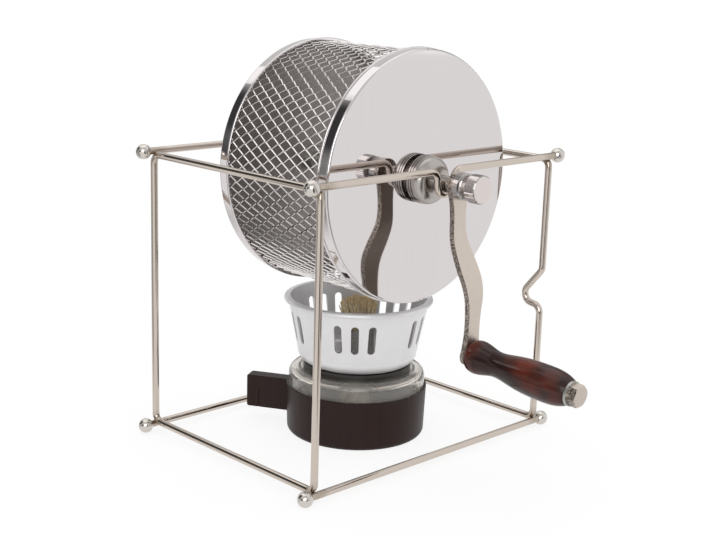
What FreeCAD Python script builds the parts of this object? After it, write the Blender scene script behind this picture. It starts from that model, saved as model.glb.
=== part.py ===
"""Stovetop coffee bean roaster: a hand cranked mesh drum in a wire stand, over a spirit burner.

Millimetres. +X to the right along the crank side, -Y towards the crank, +Z up.
The origin is on the table, under the middle of the wire stand.
"""
import FreeCAD
import Part
import math
import os

Vec = FreeCAD.Vector
X, Y, Z = Vec(1, 0, 0), Vec(0, 1, 0), Vec(0, 0, 1)

# wire stand
wire_d = 4.0
stand_width = 177.2          # left loop to right loop, wire centres
stand_depth = 137.4          # front upright to rear upright, wire centres
stand_height = 160.0         # bottom bar to top bar, wire centres
wire_bend_r = 5.0
weld_angle = 50.0            # where on the loop's corner a cross bar is welded
weld_bite = 0.1
ball_d = 8.5
ball_overhang = 6.6          # ball centre beyond the loop's plane
ball_wall = 1.2              # from the ball's centre to its drilled hole's floor
ball_bore_gap = 0.1
saddle_shoulder_r = 6.0
notch_depth = 11.4
notch_top = 97.0
notch_floor_high = 83.5
notch_floor_low = 76.5
notch_bottom = 75.0

# drum
drum_r = 69.0
drum_length = 87.0
drum_centre_y = -8.1
cap_sheet = 0.7
cap_corner_r = 1.2
cap_skirt = 8.0
cap_bead_r = 0.7
mesh_sheet = 0.8
mesh_diamonds_round = 24
mesh_diamonds_long = 3
mesh_strand = 2.4
mesh_rim = 2.6                 # left whole at each end, under the cap's skirt
lock_nut_flats = 13.0
lock_nut_thick = 5.0

# shaft and hubs
shaft_d = 8.0
shaft_drop = 6.8             # shaft axis below the top bars' centres
shaft_tail = 4.0             # beyond the rear saddle
shaft_chamfer = 0.6
running_gap = 0.08
square_seat = 5.5
stud_d = 6.0
hub_r = 13.2
hub_foot_r = 10.5
hub_foot = 1.9               # its foot holds the rim that far off the cap
hub_rim = 5.8                # front edge of the rim, from the cap
hub_dome_r = 5.8             # round-over from the rim to the flat nose
hub_groove_deep = 0.6
hub_groove_wide = 0.7
hub_groove_pitch = 1.7
hub_screw_d = 3.0
hub_screw_angle = 35.0       # above the horizontal, to the right
hub_screw_sink = 1.6
hub_screw_land = 0.5         # of the dome left between the rim and the screw's hole

# crank
arm_clearance = 5.6          # arm's back face in front of the saddle wire
arm_thick = 3.2
arm_eye_r = 7.5
arm_eye_meet = 37.0          # degrees below level, where the round eye ends
arm_waist = 9.4
arm_belly = 13.4
arm_end_r = 6.4
arm_reach = 90.5             # shaft axis to grip axis, straight down
arm_belly_at = 45.0
arm_upper_waist_at = 24.0
arm_lower_waist_at = 66.0
joggle_out = 12.8
joggle_start = 28.3
joggle_end = 54.5
arm_return = 3.6             # degrees, lower end leans back to the drum
joggle_bend_r = 30.0
crank_swing = 2.4            # degrees, how far off plumb the crank hangs

# collar and thumb nut
collar_r = 7.3
collar_length = 5.8
collar_groove_at = 4.5        # middle of its groove, from the arm
collar_groove_wide = 0.9
collar_groove_deep = 0.7
collar_chamfer = 0.4
swivel_gap = 0.05
nut_neck_r = 5.6
nut_neck = 2.5
nut_head_r = 7.65
nut_head = 7.0
nut_chamfer = 0.6
nut_face = 2.0               # metal in front of the blind thread
knurl_teeth = 40
knurl_deep = 0.45

# grip
grip_length = 65.4
grip_play = 0.25
grip_base_r = 9.0
grip_neck_r = 7.0
grip_belly_r = 9.65
grip_tip_r = 6.6
grip_bolt_d = 6.0
bolt_flats = 10.6
bolt_head = 4.8
bolt_chamfer = 1.0           # round the head's front corners
bolt_turn = 36.0             # degrees that the head stopped at when it was tightened
grip_washer_d = 13.2
grip_washer = 1.5

# spirit burner
burner_x = 5.05
burner_y = -1.4
base_r = 41.2                # at its top edge
base_draft = 0.8             # its foot is that much smaller in radius
base_height = 28.6
base_wall = 2.2
base_floor = 3.0
base_foot_r = 3.0
tab_angle = 120.0
tab_reach = 67.7
tab_thick = 8.0
tab_low = 6.6
tab_high = 26.2
tab_corner_r = 2.0
tab_line_in = 8.5            # fine line up the tab from its lower edge
tab_line_deep = 0.5
tab_line_wide = 0.6
tab_line_length = 11.0
jar_gap = 0.3
jar_flange_r = 39.9
jar_flange = 6.0
jar_wall = 2.2
jar_shoulder_r = 35.0
jar_shoulder = 4.4
jar_neck_r = 18.4
jar_neck = 1.4
seal_thick = 0.8
cap_plate_r = 31.5
cap_plate_top = 42.2
wick_tube_r = 9.6
wick_tube_wall = 0.8
wick_tube_top = 62.0
wick_tube_low = 26.0
wick_flange_r = 14.0
wick_flange = 1.0
wick_gap = 0.3
wick_low = 7.0
wick_top = 83.0
wick_tuft_r = 10.4
wick_crown_r = 4.0

# wind cup
cup_top = 81.0
cup_rim_r = 40.7
cup_foot_r = 34.8
cup_wall = 1.0
cup_foot_bend_r = 7.0
cup_bead_r = 1.3             # of the rolled rim, which stands out twice that far
cup_seat_gap = 0.5
slot_groups = 5
slots_in_group = 3
slot_first_angle = 223.4
slot_pitch_angle = 14.6
slot_wide = 4.4
slot_low = 56.0
slot_high = 73.0

# places that follow from the sizes
wire_r = wire_d / 2
ball_r = ball_d / 2
shaft_r = shaft_d / 2
loop_x = stand_width / 2
upright_y = stand_depth / 2
low_bar_z = ball_r
top_bar_z = low_bar_z + stand_height
weld_reach = wire_bend_r + wire_d - weld_bite
bar_y = upright_y - wire_bend_r + weld_reach * math.cos(math.radians(weld_angle))
bar_inset = weld_reach * math.sin(math.radians(weld_angle)) - wire_bend_r
ball_x = loop_x + ball_overhang
shaft_z = top_bar_z - shaft_drop
front_face_y = drum_centre_y - drum_length / 2
rear_face_y = drum_centre_y + drum_length / 2
arm_back_y = -bar_y - wire_r - arm_clearance
arm_front_y = arm_back_y - arm_thick
collar_front_y = arm_front_y - collar_length
nut_back_y = collar_front_y - swivel_gap
nut_front_y = nut_back_y - nut_neck - nut_head
hub_length = hub_rim + hub_dome_r
jar_top_z = base_height + jar_flange + jar_shoulder + jar_neck


def outline(points, origin, across, along):
    """Closed face from (radius, distance) points; four numbers are an arc's middle and end."""
    def place(r, t):
        return origin + across * r + along * t
    edges = []
    here = place(*points[0])
    for point in points[1:] + points[:1]:
        there = place(*point[-2:])
        if len(point) == 4:
            edges.append(Part.Arc(here, place(*point[:2]), there).toShape())
        elif (there - here).Length > 1e-6:
            edges.append(Part.LineSegment(here, there).toShape())
        here = there
    return Part.Face(Part.Wire(edges))


def turned(points, origin, along, across=X):
    """Solid of revolution about the line through origin along the given direction."""
    return outline(points, origin, across, along).revolve(origin, along, 360)


def rod(radius, start, along, length):
    return Part.makeCylinder(radius, length, start, along)


def hexagon(flats, thick, start, along, across):
    """Hexagonal prism with one flat facing the across direction."""
    side = along.cross(across)
    corner_r = flats / math.sqrt(3)
    corners = []
    for k in range(7):
        turn = math.radians(30 + 60 * k)
        corners.append(start + across * corner_r * math.cos(turn) + side * corner_r * math.sin(turn))
    return Part.Face(Part.makePolygon(corners)).extrude(along * thick)


def bent_run(points, bend_r):
    """Edges of straight runs through the points, with each corner rounded to a tangent arc."""
    edges = []
    here = points[0]
    for before, corner, after in zip(points, points[1:], points[2:]):
        into = (corner - before).normalize()
        out = (after - corner).normalize()
        half = into.getAngle(out) / 2
        start = corner - into * bend_r * math.tan(half)
        end = corner + out * bend_r * math.tan(half)
        middle = corner + (out - into).normalize() * bend_r * (1 / math.cos(half) - 1)
        edges.append(Part.LineSegment(here, start).toShape())
        edges.append(Part.Arc(start, middle, end).toShape())
        here = end
    edges.append(Part.LineSegment(here, points[-1]).toShape())
    return edges


def wire_along(edges, diameter):
    """Round wire swept along a smooth path."""
    first = edges[0]
    start = first.valueAt(first.FirstParameter)
    section = Part.Wire(Part.makeCircle(diameter / 2, start, first.tangentAt(first.FirstParameter)))
    return Part.Wire(edges).makePipeShell([section], True, True)


def loop_side(x, y, kinks):
    """Half of a side loop, from the middle of its foot run up one upright to its top run."""
    foot = Vec(x, 0, low_bar_z + bar_inset)
    top = Vec(x, 0, top_bar_z - bar_inset)
    points = [foot, Vec(x, y, foot.z)] + kinks + [Vec(x, y, top.z), top]
    return wire_along(bent_run(points, wire_bend_r), wire_d)


def finger_notch(x):
    """Bends of the one upright that has a notch, from its lower to its upper end."""
    outer_y = -upright_y
    inner_y = outer_y + notch_depth
    return [
        Vec(x, outer_y, notch_bottom),
        Vec(x, inner_y, notch_floor_low),
        Vec(x, inner_y, notch_floor_high),
        Vec(x, outer_y, notch_top),
    ]


def side_loop(x, kinks):
    """One bent wire, butt welded into a closed loop."""
    rear = loop_side(x, upright_y, [])
    front = loop_side(x, -upright_y, kinks)
    return rear.fuse(front).removeSplitter()


def bar_ends():
    """Where a cross bar stops, inside the drilled holes of its two balls."""
    end = ball_x - ball_wall - ball_bore_gap
    return -end, end


def plain_bar(y, z):
    left, right = bar_ends()
    return rod(wire_r, Vec(left, y, z), X, right - left)


def saddle_bar(y):
    """Top bar that dips into a U under the shaft, with two shoulders of tangent arcs."""
    left, right = bar_ends()
    dip_r = shaft_r + running_gap + wire_r
    reach = dip_r + saddle_shoulder_r
    shoulder_z = top_bar_z - saddle_shoulder_r
    rise = shoulder_z - shaft_z
    shoulder_x = math.sqrt(reach ** 2 - rise ** 2)
    tangent = Vec(shoulder_x, 0, rise) * (dip_r / reach)
    middle = math.atan2(rise, shoulder_x)
    half_turn = (math.pi / 2 + (math.pi + middle)) / 2

    def shoulder(sign):
        centre = Vec(sign * shoulder_x, y, shoulder_z)
        flat = centre + Z * saddle_shoulder_r
        mid = centre + Vec(-sign * math.cos(half_turn - math.pi / 2), 0,
                           math.sin(half_turn - math.pi / 2)) * saddle_shoulder_r
        joint = Vec(sign * tangent.x, y, shaft_z + tangent.z)
        return flat, mid, joint

    flat_l, mid_l, joint_l = shoulder(-1)
    flat_r, mid_r, joint_r = shoulder(1)
    bottom = Vec(0, y, shaft_z - dip_r)
    edges = [
        Part.LineSegment(Vec(left, y, top_bar_z), flat_l).toShape(),
        Part.Arc(flat_l, mid_l, joint_l).toShape(),
        Part.Arc(joint_l, bottom, joint_r).toShape(),
        Part.Arc(joint_r, mid_r, flat_r).toShape(),
        Part.LineSegment(flat_r, Vec(right, y, top_bar_z)).toShape(),
    ]
    return wire_along(edges, wire_d)


def balls(z):
    """Four end balls, each drilled to take the end of its cross bar."""
    bore_r = wire_r + ball_bore_gap
    mouth = math.sqrt(ball_r ** 2 - bore_r ** 2)
    points = [
        (0, -ball_wall),
        (bore_r, -ball_wall),
        (bore_r, -mouth),
        (ball_r, 0, 0, ball_r),
    ]
    group = []
    for y in (-bar_y, bar_y):
        for side in (-1, 1):
            group.append(turned(points, Vec(side * ball_x, y, z), X * side, Y))
    return Part.makeCompound(group)


def mesh_diamond(turn, y, half_long, half_high):
    """Prism that cuts one opening, a diamond with its long way along the drum."""
    out = Vec(math.cos(turn), 0, math.sin(turn))
    round_way = Vec(-math.sin(turn), 0, math.cos(turn))
    centre = Vec(0, y, shaft_z) + out * (drum_r / 2)
    corners = [
        centre + Y * half_long,
        centre + round_way * half_high,
        centre - Y * half_long,
        centre - round_way * half_high,
        centre + Y * half_long,
    ]
    return Part.Face(Part.makePolygon(corners)).extrude(out * drum_r)


def mesh_openings(length):
    """Diamonds of the drum wall: each row stands half a diamond further on than its neighbour."""
    long_way = length / mesh_diamonds_long
    high = 2 * math.pi * drum_r / mesh_diamonds_round
    strand_pitch = long_way * high / math.hypot(long_way, high)
    open_share = 1 - mesh_strand / strand_pitch
    prisms = []
    for row in range(2 * mesh_diamonds_round):
        turn = math.pi * row / mesh_diamonds_round
        odd = row % 2
        for k in range(mesh_diamonds_long + odd):
            y = drum_centre_y - length / 2 + (k + (1 - odd) / 2) * long_way
            prisms.append(mesh_diamond(turn, y, long_way / 2 * open_share, high / 2 * open_share))
    return Part.makeCompound(prisms)


def drum_mesh():
    """Wall of the bean drum, from one end cap to the other: diamonds between two whole rims."""
    outer_r = drum_r - cap_sheet
    length = drum_length - 2 * cap_sheet
    start_y = front_face_y + cap_sheet

    def tube(y, long):
        start = Vec(0, y, shaft_z)
        return rod(outer_r, start, Y, long).cut(rod(outer_r - mesh_sheet, start, Y, long))

    open_length = length - 2 * mesh_rim
    wall = tube(start_y + mesh_rim, open_length).cut(mesh_openings(open_length))
    rims = [tube(start_y, mesh_rim), tube(start_y + length - mesh_rim, mesh_rim)]
    return wall.fuse(rims).removeSplitter()


def end_cap(face_y, inward):
    """Pressed lid: flat disc, rounded corner, skirt over the drum wall and a rolled bead."""
    inner_r = drum_r - cap_sheet
    corner = cap_corner_r * math.sqrt(0.5)
    bead_at = cap_skirt - cap_bead_r
    points = [
        (shaft_r, 0),
        (drum_r - cap_corner_r, 0),
        (drum_r - cap_corner_r + corner, cap_corner_r - corner, drum_r, cap_corner_r),
        (drum_r, bead_at - cap_bead_r),
        (drum_r + cap_bead_r, bead_at, drum_r, cap_skirt),
        (inner_r, cap_skirt),
        (inner_r, cap_sheet),
        (shaft_r, cap_sheet),
    ]
    return turned(points, Vec(0, face_y, shaft_z), inward)


def drum_shaft():
    """Axle through the drum, with a square seat for the arm and a threaded stud in front."""
    tail_y = bar_y + wire_r + shaft_tail
    length = tail_y - arm_back_y
    axle = turned([
        (0, 0),
        (shaft_r, 0),
        (shaft_r, length - shaft_chamfer),
        (shaft_r - shaft_chamfer, length),
        (0, length),
    ], Vec(0, arm_back_y, shaft_z), Y)
    half = square_seat / 2
    seat = Part.makeBox(square_seat, arm_thick, square_seat, Vec(-half, arm_front_y, shaft_z - half))
    stud_length = arm_front_y - (nut_front_y + nut_face) - running_gap
    stud = rod(stud_d / 2, Vec(0, arm_front_y - stud_length, shaft_z), Y, stud_length)
    return axle.fuse(seat).fuse(stud).removeSplitter()


def hub_profile():
    """Narrow foot, grooved rim, then a round-over down to a flat nose."""
    groove_r = hub_r - hub_groove_deep
    points = [(shaft_r, 0), (hub_foot_r, 0), (hub_foot_r, hub_foot), (hub_r, hub_foot)]
    for k in range(2):
        start = hub_foot + (k + 1) * hub_groove_pitch - hub_groove_wide
        points += [(hub_r, start), (groove_r, start)]
        points += [(groove_r, start + hub_groove_wide), (hub_r, start + hub_groove_wide)]
    nose_r = hub_r - hub_dome_r
    slant = hub_dome_r * math.sqrt(0.5)
    points += [
        (hub_r, hub_rim),
        (nose_r + slant, hub_rim + slant, nose_r, hub_length),
        (shaft_r, hub_length),
    ]
    return points


def hub_screw_axis():
    turn = math.radians(hub_screw_angle)
    return Vec(math.cos(turn), 0, math.sin(turn))


def hub_screw_foot(face_y, outward):
    """Point on the shaft's axis under the hub's screw, just past the rim."""
    return Vec(0, face_y, shaft_z) + outward * (hub_rim + hub_screw_land + hub_screw_d / 2)


def hub(face_y, outward):
    body = turned(hub_profile(), Vec(0, face_y, shaft_z), outward)
    return body.cut(rod(hub_screw_d / 2, hub_screw_foot(face_y, outward), hub_screw_axis(), hub_r))


def hub_screws():
    """Headless screw of each hub, sunk in its hole and tight against the shaft."""
    group = []
    for face_y, outward in ((front_face_y, Y * -1), (rear_face_y, Y)):
        foot = hub_screw_foot(face_y, outward)
        screw = rod(hub_screw_d / 2, foot, hub_screw_axis(), hub_r - hub_screw_sink)
        group.append(screw.cut(rod(shaft_r, Vec(0, face_y, shaft_z), outward, hub_length)))
    return Part.makeCompound(group)


def lock_nuts():
    """Nuts inside the drum that clamp each end cap against its hub."""
    group = []
    for face_y, inward in ((front_face_y, Y), (rear_face_y, Y * -1)):
        start = Vec(0, face_y, shaft_z) + inward * cap_sheet
        nut = hexagon(lock_nut_flats, lock_nut_thick, start, inward, Z)
        group.append(nut.cut(rod(shaft_r, start, inward, lock_nut_thick)))
    return Part.makeCompound(group)


def swing(shape):
    """Hang the crank off plumb by a small turn about the shaft."""
    turned_copy = shape.copy()
    turned_copy.rotate(Vec(0, 0, shaft_z), Y, -crank_swing)
    return turned_copy


def grip_direction():
    lean = math.radians(arm_return)
    return Vec(0, -math.cos(lean), -math.sin(lean))


def grip_seat():
    """Point on the arm's front face where the grip's axis leaves it."""
    below = joggle_end
    lean = math.tan(math.radians(arm_return))
    y = arm_front_y - joggle_out + (arm_reach - below) * lean
    return Vec(0, y, shaft_z - arm_reach)


def arm_section_path():
    """Middle line of the flat bar, seen from the side: down, out, and slightly back."""
    mid_y = arm_front_y + arm_thick / 2
    end = grip_seat() + Vec(0, arm_thick / 2, 0)
    lean = math.tan(math.radians(arm_return))
    tail = arm_end_r + arm_thick
    return [
        Vec(0, mid_y, shaft_z + arm_eye_r + arm_thick),
        Vec(0, mid_y, shaft_z - joggle_start),
        Vec(0, mid_y - joggle_out, shaft_z - joggle_end),
        end + Vec(0, lean * tail, -tail),
    ]


def arm_outline():
    """Front view of the arm: round eye, waist, belly, waist and round end."""
    meet = math.radians(arm_eye_meet)
    stations = [
        (arm_eye_r * math.cos(meet), -arm_eye_r * math.sin(meet)),
        (arm_waist / 2, -arm_upper_waist_at),
        (arm_belly / 2, -arm_belly_at),
        (arm_waist / 2, -arm_lower_waist_at),
        (arm_end_r, -arm_reach),
    ]
    right = [Vec(w, 0, shaft_z + h) for w, h in stations]
    left = [Vec(-p.x, 0, p.z) for p in right]
    sides = []
    for points in (right, left[::-1]):
        curve = Part.BSplineCurve()
        curve.interpolate(points)
        sides.append(curve.toShape())
    end = Part.Arc(right[-1], Vec(0, 0, shaft_z - arm_reach - arm_end_r), left[-1]).toShape()
    eye = Part.Arc(left[0], Vec(0, 0, shaft_z + arm_eye_r), right[0]).toShape()
    return Part.Face(Part.Wire([sides[0], end, sides[1], eye]))


def crank_arm():
    """Flat bar with a joggle that carries the grip clear of the stand."""
    path = bent_run(arm_section_path(), joggle_bend_r)
    start = arm_section_path()[0]
    half = arm_belly
    corners = []
    for x, y in ((-half, -1), (half, -1), (half, 1), (-half, 1), (-half, -1)):
        corners.append(start + Vec(x, y * arm_thick / 2, 0))
    strip = Part.Wire(path).makePipeShell([Part.makePolygon(corners)], True, True)
    deep = 2 * (joggle_out + arm_thick)
    front = arm_outline()
    front.translate(Y * (arm_front_y + arm_thick - deep))
    blank = front.extrude(Y * deep)
    seat = square_seat / 2
    hole = Part.makeBox(square_seat, 2 * arm_thick, square_seat,
                        Vec(-seat, arm_front_y - arm_thick / 2, shaft_z - seat))
    bolt_hole = rod(grip_bolt_d / 2, grip_seat() - grip_direction() * 2 * arm_thick,
                    grip_direction(), 4 * arm_thick)
    return swing(strip.common(blank).cut(hole).cut(bolt_hole))


def wood_grip():
    """Turned handle: round base, neck, long belly and a narrow tip, bored to spin on its bolt."""
    bore_r = grip_bolt_d / 2 + running_gap
    start = grip_seat() + grip_direction() * grip_play
    stations = [
        (grip_base_r * 0.84, 0),
        (grip_base_r * 0.99, grip_length * 0.04),
        (grip_base_r * 0.98, grip_length * 0.12),
        (grip_neck_r, grip_length * 0.25),
        (grip_neck_r * 1.16, grip_length * 0.43),
        (grip_belly_r * 0.98, grip_length * 0.62),
        (grip_belly_r, grip_length * 0.74),
        (grip_belly_r * 0.9, grip_length * 0.92),
        (grip_tip_r, grip_length),
    ]
    side = Part.BSplineCurve()
    side.interpolate([start + X * r + grip_direction() * t for r, t in stations])
    end = start + grip_direction() * grip_length
    wire = Part.Wire([
        Part.LineSegment(start + X * bore_r, start + X * stations[0][0]).toShape(),
        side.toShape(),
        Part.LineSegment(end + X * grip_tip_r, end + X * bore_r).toShape(),
        Part.LineSegment(end + X * bore_r, start + X * bore_r).toShape(),
    ])
    return swing(Part.Face(wire).revolve(start, grip_direction(), 360))


def washer_start():
    return grip_seat() + grip_direction() * (grip_length + 2 * grip_play)


def grip_washer_ring():
    start = washer_start()
    ring = rod(grip_washer_d / 2, start, grip_direction(), grip_washer)
    return swing(ring.cut(rod(grip_bolt_d / 2, start, grip_direction(), grip_washer)))


def grip_bolt():
    """Hexagon bolt that holds the grip, screwed into the arm's end and flush with its back."""
    lean = math.radians(arm_return)
    back = arm_thick * math.cos(lean)
    shank_start = grip_seat() - grip_direction() * back
    length = back + grip_length + 2 * grip_play + grip_washer
    head_start = washer_start() + grip_direction() * grip_washer
    turn = math.radians(bolt_turn)
    across = X * math.cos(turn) + grip_direction().cross(X) * math.sin(turn)
    corner_r = bolt_flats / math.sqrt(3)
    chamfered = turned([
        (0, 0),
        (corner_r, 0),
        (corner_r, bolt_head - bolt_chamfer / 2),
        (bolt_flats / 2, bolt_head),
        (0, bolt_head),
    ], head_start, grip_direction())
    head = hexagon(bolt_flats, bolt_head, head_start, grip_direction(), across).common(chamfered)
    return swing(rod(grip_bolt_d / 2, shank_start, grip_direction(), length).fuse(head))


def crank_collar():
    """Grooved ring between the arm and the thumb nut."""
    bore_r = stud_d / 2 + running_gap
    low_r = collar_r - collar_groove_deep
    groove_half = collar_groove_wide / 2
    points = [
        (bore_r, 0),
        (collar_r, 0),
        (collar_r, collar_groove_at - collar_groove_wide),
        (low_r, collar_groove_at - groove_half),
        (low_r, collar_groove_at + groove_half),
        (collar_r, collar_groove_at + collar_groove_wide),
        (collar_r - collar_chamfer, collar_length),
        (bore_r, collar_length),
    ]
    return turned(points, Vec(0, arm_front_y, shaft_z), Y * -1)


def thumb_nut():
    """Knurled nut with a blind thread, a short neck behind and a flat face in front."""
    start = Vec(0, nut_back_y, shaft_z)
    total = nut_neck + nut_head
    bore_r = stud_d / 2 + running_gap
    blank = turned([
        (bore_r, 0),
        (nut_neck_r, 0),
        (nut_neck_r, nut_neck),
        (nut_head_r - nut_chamfer, nut_neck),
        (nut_head_r, nut_neck + nut_chamfer),
        (nut_head_r, total - nut_chamfer),
        (nut_head_r - nut_chamfer, total),
        (0, total),
        (0, total - nut_face),
        (bore_r, total - nut_face),
    ], start, Y * -1)
    rim = []
    for k in range(2 * knurl_teeth + 1):
        r = nut_head_r if k % 2 else nut_head_r - knurl_deep
        turn = math.pi * k / knurl_teeth
        rim.append(start + Vec(r * math.cos(turn), 0, r * math.sin(turn)))
    teeth = Part.Face(Part.makePolygon(rim)).extrude(Y * -total)
    return blank.common(teeth)


def on_burner(z):
    return Vec(burner_x, burner_y, z)


def burner_base():
    """Plastic cup with a flat finger tab, which holds the fuel jar."""
    foot_r = base_r - base_draft
    round_off = base_foot_r * (1 - math.sqrt(0.5))
    cup = turned([
        (0, 0),
        (foot_r - base_foot_r, 0),
        (foot_r - round_off, round_off, foot_r, base_foot_r),
        (base_r, base_height),
        (base_r - base_wall, base_height),
        (base_r - base_wall, base_floor),
        (0, base_floor),
    ], on_burner(0), Z)
    tab_start = base_r - base_wall / 2
    tab = Part.makeBox(tab_reach - tab_start, tab_thick, tab_high - tab_low,
                       Vec(tab_start, -tab_thick / 2, tab_low))
    far_edges = [edge for edge in tab.Edges if edge.CenterOfMass.x > tab_reach - tab_corner_r]
    tab = tab.makeFillet(tab_corner_r, far_edges)
    line = Part.makeBox(tab_line_wide, tab_line_deep, tab_line_length,
                        Vec(tab_reach - tab_line_in, tab_thick / 2 - tab_line_deep, tab_low))
    tab = tab.cut(line)
    tab.rotate(Vec(0, 0, 0), Z, tab_angle)
    tab.translate(on_burner(0))
    return cup.fuse(tab)


def fuel_jar():
    """Clear glass jar: body in the base, flange on its rim, round shoulder and open neck."""
    body_r = base_r - base_wall - jar_gap
    flange_top = base_height + jar_flange
    shoulder_top = flange_top + jar_shoulder
    inner_r = body_r - jar_wall
    neck_in = jar_neck_r - jar_wall
    bulge = (jar_flange_r - jar_shoulder_r) * (1 - math.sqrt(0.5))
    rise = jar_shoulder * math.sqrt(0.5)
    return turned([
        (0, base_floor),
        (body_r, base_floor),
        (body_r, base_height),
        (jar_flange_r, base_height),
        (jar_flange_r, flange_top),
        (jar_flange_r - bulge, flange_top + rise, jar_shoulder_r, shoulder_top),
        (jar_neck_r, shoulder_top),
        (jar_neck_r, jar_top_z),
        (neck_in, jar_top_z),
        (neck_in, shoulder_top - jar_wall),
        (jar_shoulder_r - jar_wall, shoulder_top - jar_wall),
        (inner_r, flange_top),
        (inner_r, base_floor + jar_wall),
        (0, base_floor + jar_wall),
    ], on_burner(0), Z)


def burner_cap():
    """Black cap on the jar's neck, with a skirt round it and a hole for the wick tube."""
    seat_z = jar_top_z + seal_thick
    shoulder_top = jar_top_z - jar_neck
    return turned([
        (wick_tube_r, seat_z),
        (jar_neck_r + jar_gap, seat_z),
        (jar_neck_r + jar_gap, shoulder_top),
        (cap_plate_r, shoulder_top),
        (cap_plate_r, cap_plate_top),
        (wick_tube_r, cap_plate_top),
    ], on_burner(0), Z)


def jar_seal():
    """Flat rubber ring between the jar's neck and the cap."""
    ring = rod(jar_neck_r, on_burner(jar_top_z), Z, seal_thick)
    return ring.cut(rod(jar_neck_r - jar_wall, on_burner(jar_top_z), Z, seal_thick))


def wick_tube():
    """Thin tube through the cap, hung by its flange."""
    inner_r = wick_tube_r - wick_tube_wall
    return turned([
        (inner_r, wick_tube_low),
        (wick_tube_r, wick_tube_low),
        (wick_tube_r, cap_plate_top),
        (wick_flange_r, cap_plate_top),
        (wick_flange_r, cap_plate_top + wick_flange),
        (wick_tube_r, cap_plate_top + wick_flange),
        (wick_tube_r, wick_tube_top),
        (inner_r, wick_tube_top),
    ], on_burner(0), Z)


def wick():
    """Cotton rope in its tube, frayed into a tuft above it."""
    rope_r = wick_tube_r - wick_tube_wall - wick_gap
    tuft_start = wick_tube_top + wick_gap
    crown = wick_crown_r * (1 - math.sqrt(0.5))
    return turned([
        (0, wick_low),
        (rope_r, wick_low),
        (rope_r, tuft_start),
        (wick_tuft_r, tuft_start + wick_crown_r),
        (wick_tuft_r, wick_top - wick_crown_r),
        (wick_tuft_r - crown, wick_top - crown, wick_tuft_r - wick_crown_r, wick_top),
        (0, wick_top),
    ], on_burner(0), Z)


def cup_slot(angle):
    """Upright slot with round ends, cut through the wall in one direction."""
    half = slot_wide / 2
    low = slot_low + half
    high = slot_high - half
    inside = cup_foot_r - 2 * cup_wall
    far = cup_rim_r - inside
    box = Part.makeBox(far, slot_wide, high - low, Vec(inside, -half, low))
    ends = [rod(half, Vec(inside, 0, z), X, far) for z in (low, high)]
    tool = box.multiFuse(ends)
    tool.rotate(Vec(0, 0, 0), Z, angle)
    tool.translate(on_burner(0))
    return tool


def wind_cup():
    """Spun cup round the flame: flat foot with a hole, sloping wall, slots and a rolled rim."""
    foot = cap_plate_top
    bend = cup_foot_bend_r
    thick = cup_wall
    corner = bend * (1 - math.sqrt(0.5))
    inner_bend = bend - thick
    inner_corner = inner_bend * (1 - math.sqrt(0.5))
    shell = turned([
        (wick_flange_r + cup_seat_gap, foot),
        (cup_foot_r - bend, foot),
        (cup_foot_r - corner, foot + corner, cup_foot_r, foot + bend),
        (cup_rim_r, cup_top - 2 * cup_bead_r),
        (cup_rim_r + cup_bead_r, cup_top - 2 * cup_bead_r),
        (cup_rim_r + 2 * cup_bead_r, cup_top - cup_bead_r, cup_rim_r + cup_bead_r, cup_top),
        (cup_rim_r - thick, cup_top),
        (cup_foot_r - thick, foot + bend),
        (cup_foot_r - thick - inner_corner, foot + thick + inner_corner, cup_foot_r - bend, foot + thick),
        (wick_flange_r + cup_seat_gap, foot + thick),
    ], on_burner(0), Z)
    tools = []
    for group in range(slot_groups):
        for k in range(slots_in_group):
            offset = (k - (slots_in_group - 1) / 2) * slot_pitch_angle
            tools.append(cup_slot(slot_first_angle + group * 360 / slot_groups + offset))
    return shell.cut(Part.makeCompound(tools))


nodes = {
    "left_side_loop": side_loop(-loop_x, []),
    "right_side_loop": side_loop(loop_x, finger_notch(loop_x)),
    "front_top_bar": saddle_bar(-bar_y),
    "rear_top_bar": saddle_bar(bar_y),
    "front_bottom_bar": plain_bar(-bar_y, low_bar_z),
    "rear_bottom_bar": plain_bar(bar_y, low_bar_z),
    "top_balls": balls(top_bar_z),
    "foot_balls": balls(low_bar_z),
    "drum_mesh": drum_mesh(),
    "front_end_cap": end_cap(front_face_y, Y),
    "rear_end_cap": end_cap(rear_face_y, Y * -1),
    "drum_shaft": drum_shaft(),
    "front_hub": hub(front_face_y, Y * -1),
    "rear_hub": hub(rear_face_y, Y),
    "hub_set_screws": hub_screws(),
    "inner_lock_nuts": lock_nuts(),
    "crank_arm": crank_arm(),
    "wood_grip": wood_grip(),
    "grip_bolt": grip_bolt(),
    "grip_washer": grip_washer_ring(),
    "crank_collar": crank_collar(),
    "thumb_nut": thumb_nut(),
    "burner_base": burner_base(),
    "fuel_jar": fuel_jar(),
    "jar_seal": jar_seal(),
    "burner_cap": burner_cap(),
    "wick_tube": wick_tube(),
    "wick": wick(),
    "wind_cup": wind_cup(),
}

os.makedirs("parts", exist_ok=True)
for name, shape in nodes.items():
    shape.exportStep(f"parts/{name}.step")
    print(f"{name}: {len(shape.Solids)} solids, {shape.Volume:.1f} mm3, valid {shape.isValid()}")
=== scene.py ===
"""Stovetop coffee bean roaster: a wire stand, a hand cranked mesh drum and a spirit burner."""
import math

import bmesh
import bpy
from mathutils import Matrix, Vector


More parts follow.
